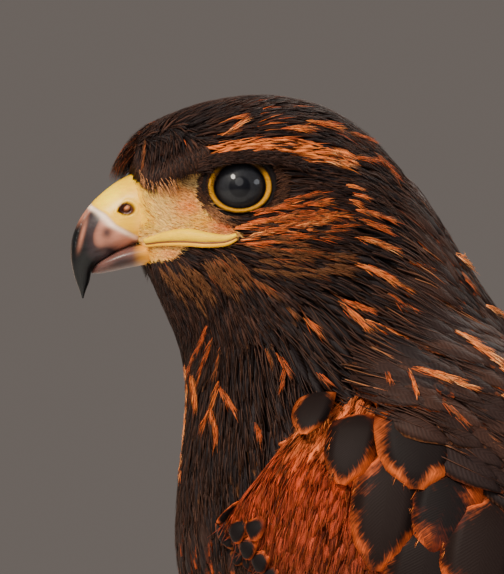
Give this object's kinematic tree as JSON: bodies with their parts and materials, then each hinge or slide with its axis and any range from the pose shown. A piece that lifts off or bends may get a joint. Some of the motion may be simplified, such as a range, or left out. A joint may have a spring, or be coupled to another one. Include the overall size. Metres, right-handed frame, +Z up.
{
  "type": "harris hawk",
  "caption": "Whole hawk standing still on the floor, wings folded, head turned a little to its left, with a hooked bill and taloned feet.",
  "frame": {"origin": "bottom centre of the bounding box, on the floor under the bird", "axes": "+Z up, the bill points along -X, the bird's left side is -Y"},
  "size_m": [0.3738, 0.1394, 0.3759],
  "materials": {
    "plumage": "barbed feather, dark brown to black with thin rufous edges",
    "rufous_plumage": "barbed feather, chestnut",
    "flight_feathers": "barbed feather, black-brown",
    "yellow_skin": "scaled bare skin, satin",
    "horn": "polished dark horn, pale bluish towards the cere",
    "eye": "wet, dark brown iris and black pupil"
  },
  "bodies": {
    "root": {"bill_lower": "horn", "bill_upper": "horn", "cere": "yellow_skin", "claw_hind_left": "horn", "claw_hind_right": "horn", "claw_inner_left": "horn", "claw_inner_right": "horn", "claw_middle_left": "horn", "claw_middle_right": "horn", "claw_outer_left": "horn", "claw_outer_right": "horn", "eye_left": "eye", "eye_right": "eye", "eyelid_left": "yellow_skin", "eyelid_right": "yellow_skin", "head": "plumage", "neck": "plumage", "shank_left": "yellow_skin", "shank_right": "yellow_skin", "tail": "flight_feathers", "thigh_left": "rufous_plumage", "thigh_right": "rufous_plumage", "toe_hind_left": "yellow_skin", "toe_hind_right": "yellow_skin", "toe_inner_left": "yellow_skin", "toe_inner_right": "yellow_skin", "toe_middle_left": "yellow_skin", "toe_middle_right": "yellow_skin", "toe_outer_left": "yellow_skin", "toe_outer_right": "yellow_skin", "torso": "plumage", "wing_left": "flight_feathers", "wing_right": "flight_feathers"}
  },
  "joints": []
}
